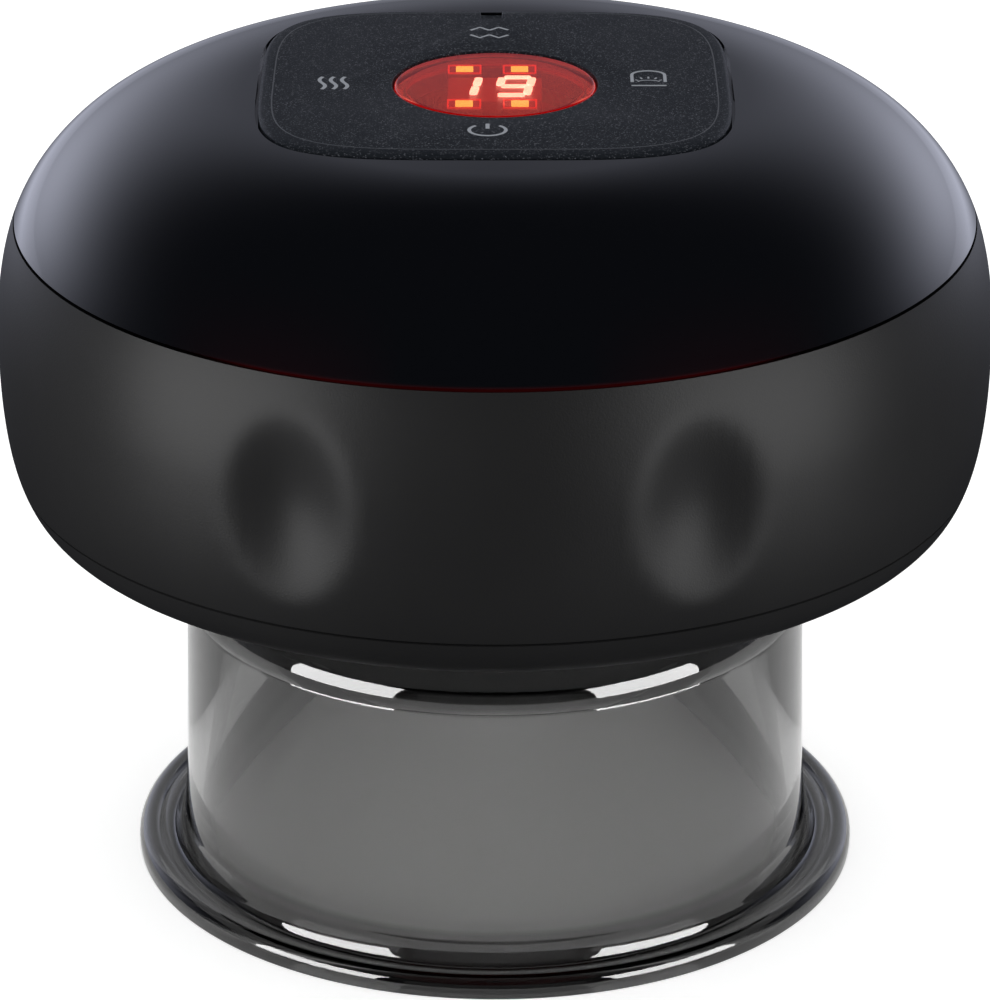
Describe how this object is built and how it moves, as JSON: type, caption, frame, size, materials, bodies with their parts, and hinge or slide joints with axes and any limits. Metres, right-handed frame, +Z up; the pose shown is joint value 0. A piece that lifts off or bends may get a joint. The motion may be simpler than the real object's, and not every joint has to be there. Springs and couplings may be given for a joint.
{
  "type": "electric cupping massager",
  "caption": "Electric cupping massager: a rounded black head with touch panel, vacuum pump and battery inside, on a smoked clear suction cup that pulls off.",
  "frame": {"origin": "centre of the cup's rim, on the plane where it rests on the skin", "axes": "+Z up along the axis of cup and head, -Y towards the front with the power key, +X to the user's right"},
  "size_m": [0.104, 0.104, 0.0859],
  "materials": {
    "matte_shell": "soft-touch matte black",
    "gloss_dome": "smoked high gloss",
    "panel_film": "fine textured satin",
    "red_window": "clear red gloss",
    "display": "matte",
    "circuit_board": "green solder mask",
    "smoked_cup": "clear smoked gloss",
    "seal_silicone": "matte silicone",
    "tube_silicone": "milky silicone",
    "white_nylon": "satin",
    "black_plastic": "satin",
    "black_rubber": "matte",
    "zinc_steel": "zinc plated",
    "steel": "ground",
    "spring_steel": "bright",
    "copper": "copper",
    "bronze": "sintered",
    "ferrite": "sintered",
    "battery_wrap": "shrink film",
    "filter_foam": "open foam"
  },
  "bodies": {
    "head": {"housing_shell": "matte_shell", "bottom_cover": "matte_shell", "dome_cover": "gloss_dome", "touch_panel": "panel_film", "window_lens": "red_window", "lamp_window": "red_window", "display_module": "display", "main_board": "circuit_board", "lamp_board": "circuit_board", "charge_board": "circuit_board", "port_tube": "tube_silicone", "valve_tube": "tube_silicone", "pump_tube": "tube_silicone", "inner_frame": "white_nylon", "suction_port": "white_nylon", "motor_end_cap": "white_nylon", "valve_plate": "white_nylon", "valve_bobbin": "white_nylon", "tee": "white_nylon", "pump_case": "black_plastic", "chamber_block": "black_plastic", "pump_head": "black_plastic", "valve_front": "black_plastic", "diaphragm": "black_rubber", "valve_flap": "black_rubber", "motor_can": "zinc_steel", "valve_yoke": "zinc_steel", "cover_screw_1": "zinc_steel", "cover_screw_2": "zinc_steel", "cover_screw_3": "zinc_steel", "cover_screw_4": "zinc_steel", "frame_screw_1": "zinc_steel", "frame_screw_2": "zinc_steel", "frame_screw_3": "zinc_steel", "valve_core": "steel", "pump_screw_1": "steel", "pump_screw_2": "steel", "pump_screw_3": "steel", "usb_socket": "steel", "touch_spring_1": "spring_steel", "touch_spring_2": "spring_steel", "touch_spring_3": "spring_steel", "touch_spring_4": "spring_steel", "return_spring": "spring_steel", "valve_coil": "copper", "front_bush": "bronze", "rear_bush": "bronze", "motor_magnet_1": "ferrite", "motor_magnet_2": "ferrite", "battery_cell": "battery_wrap", "port_filter": "filter_foam"},
    "rotor": {"motor_shaft": "steel", "armature": "steel", "commutator": "copper", "crank": "white_nylon", "crank_pin": "steel"},
    "wobble": {"wobble_plate": "white_nylon"},
    "valve_plunger": {"valve_plunger": "steel"},
    "seal_ring": {"cup_seal": "seal_silicone"},
    "cup": {"cup": "smoked_cup"}
  },
  "joints": [
    {"name": "pump_spin", "type": "hinge", "parent": "head", "child": "rotor", "pos_m": [0, -0.02, 0.06505], "axis": [1, 0, 0], "continuous": true, "deforming": ["diaphragm"]},
    {"name": "wobble_swing", "type": "hinge", "parent": "rotor", "child": "wobble", "pos_m": [0.0056, -0.02, 0.06505], "axis": [0.9903, 0, -0.1392], "continuous": true},
    {"name": "valve_stroke", "type": "slide", "parent": "head", "child": "valve_plunger", "axis": [-1, 0, 0], "range_m": [0, 0.001], "stiffness_N_per_m": 150, "deforming": ["return_spring"]},
    {"name": "cup_pull", "type": "slide", "parent": "head", "child": "seal_ring", "axis": [0, 0, -1], "range_m": [0, 0.016]},
    {"name": "cup_turn", "type": "hinge", "parent": "seal_ring", "child": "cup", "pos_m": [0, 0, 0.045], "axis": [0, 0, 1], "continuous": true}
  ],
  "couplings": [
    {"joint": "wobble_swing", "follows": "pump_spin", "ratio": -1}
  ]
}
